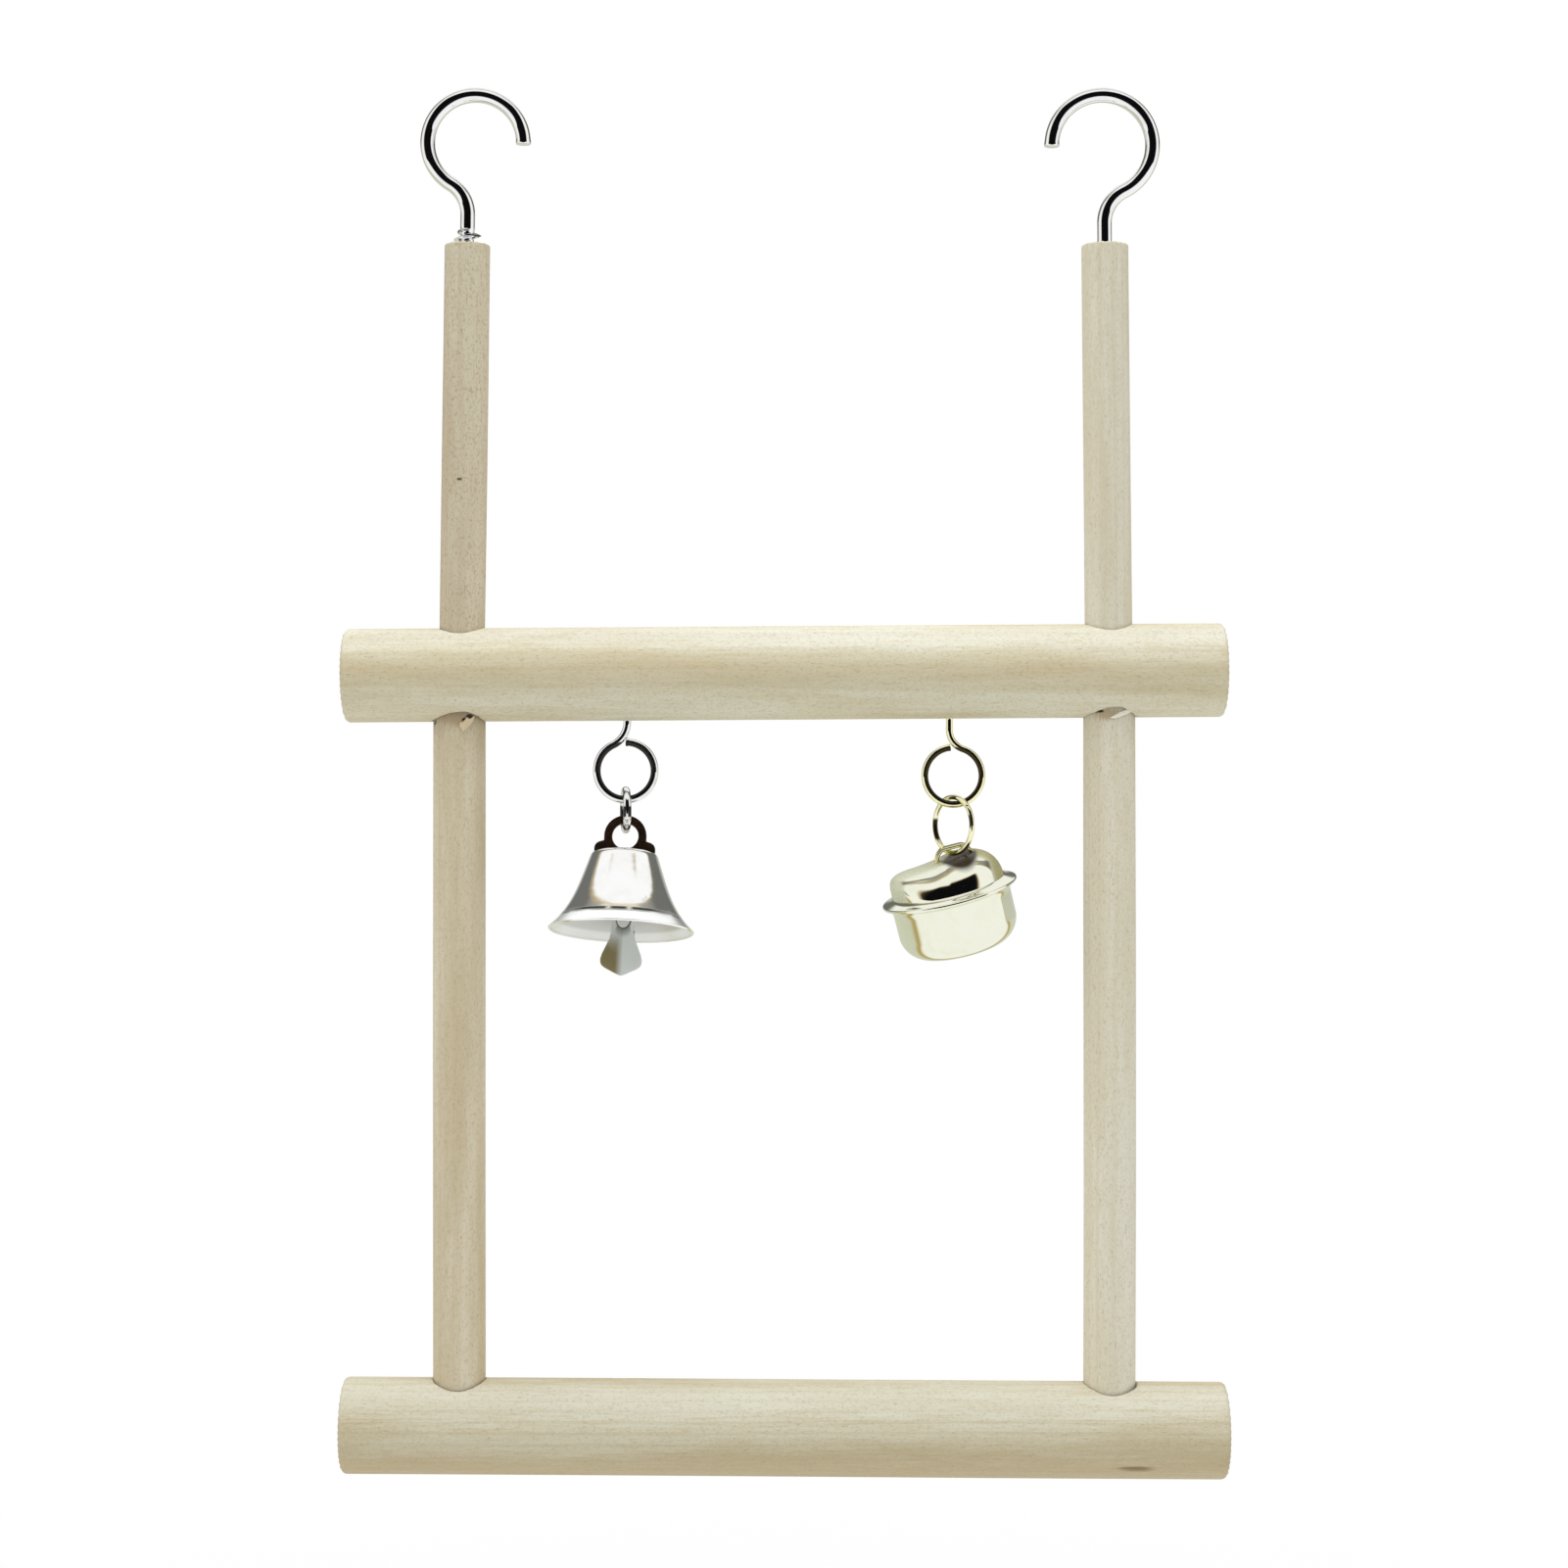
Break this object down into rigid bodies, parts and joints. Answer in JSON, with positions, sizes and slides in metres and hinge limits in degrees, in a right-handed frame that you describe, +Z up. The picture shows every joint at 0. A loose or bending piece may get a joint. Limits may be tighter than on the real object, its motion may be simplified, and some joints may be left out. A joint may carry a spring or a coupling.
{
  "type": "bird swing",
  "caption": "Hanging wooden bird swing with an upper and a lower perch on dowel posts, screw hooks at the top and a nickel bell and a brass jingle bell under the upper perch.",
  "frame": {"origin": "halfway between the seats of the two hooks, where the inside tops of their loops rest on the bar", "axes": "+Z up, +X to the right along the perches as seen from the front, -Y towards the viewer"},
  "size_m": [0.1418, 0.0267, 0.2235],
  "materials": {
    "perch_wood": "raw sanded",
    "rod_wood": "raw sanded",
    "bright_plating": "bright nickel plate",
    "nickel_sheet": "bright nickel-plated sheet",
    "dark_plate": "dark bronze satin",
    "steel_wire": "drawn wire",
    "steel_ball": "bright",
    "brass_wire": "pale brass plate",
    "brass_sheet": "pale brass plate"
  },
  "bodies": {
    "frame": {"top_perch": "perch_wood", "bottom_perch": "perch_wood", "left_rod": "rod_wood", "right_rod": "rod_wood", "left_post": "rod_wood", "right_post": "rod_wood", "left_screw_hook": "bright_plating", "right_screw_hook": "bright_plating", "silver_eye_screw": "bright_plating", "brass_eye_screw": "brass_wire"},
    "link": {"silver_link": "bright_plating"},
    "bell": {"bell_cup": "nickel_sheet", "bell_bail": "dark_plate"},
    "clapper_wire": {"clapper_link": "steel_wire"},
    "bell_clapper": {"clapper": "nickel_sheet"},
    "ring": {"brass_ring": "brass_wire"},
    "jingle_bell": {"jingle_top_shell": "brass_sheet", "jingle_bottom_shell": "brass_sheet", "jingle_strap": "brass_sheet"},
    "pea": {"jingle_pea": "steel_ball"}
  },
  "joints": [
    {"name": "silver_link_swing", "type": "hinge", "parent": "frame", "child": "link", "pos_m": [-0.02625, 0, -0.1121], "axis": [1, 0, 0], "range_deg": [-75, 75]},
    {"name": "bell_swing", "type": "hinge", "parent": "link", "child": "bell", "pos_m": [-0.02625, 0, -0.11692], "axis": [-0.1392, 0.9903, 0], "range_deg": [-45, 45]},
    {"name": "clapper_link_swing", "type": "hinge", "parent": "bell", "child": "clapper_wire", "pos_m": [-0.02644, -0.00116, -0.12257], "axis": [0, 1, 0], "range_deg": [-18, 18]},
    {"name": "clapper_swing", "type": "hinge", "parent": "clapper_wire", "child": "bell_clapper", "pos_m": [-0.02644, -0.00116, -0.12957], "axis": [0, 1, 0], "range_deg": [-18, 18]},
    {"name": "brass_ring_swing", "type": "hinge", "parent": "frame", "child": "ring", "pos_m": [0.02645, 0, -0.11286], "axis": [1, 0, 0], "range_deg": [-60, 60]},
    {"name": "jingle_swing", "type": "hinge", "parent": "ring", "child": "jingle_bell", "pos_m": [0.02645, 0, -0.12068], "axis": [-0.6157, 0.788, 0], "range_deg": [-35, 35]},
    {"name": "pea_roll", "type": "slide", "parent": "jingle_bell", "child": "pea", "axis": [0.8187, 0.4989, 0.2841], "range_m": [0, 0.0112]}
  ]
}
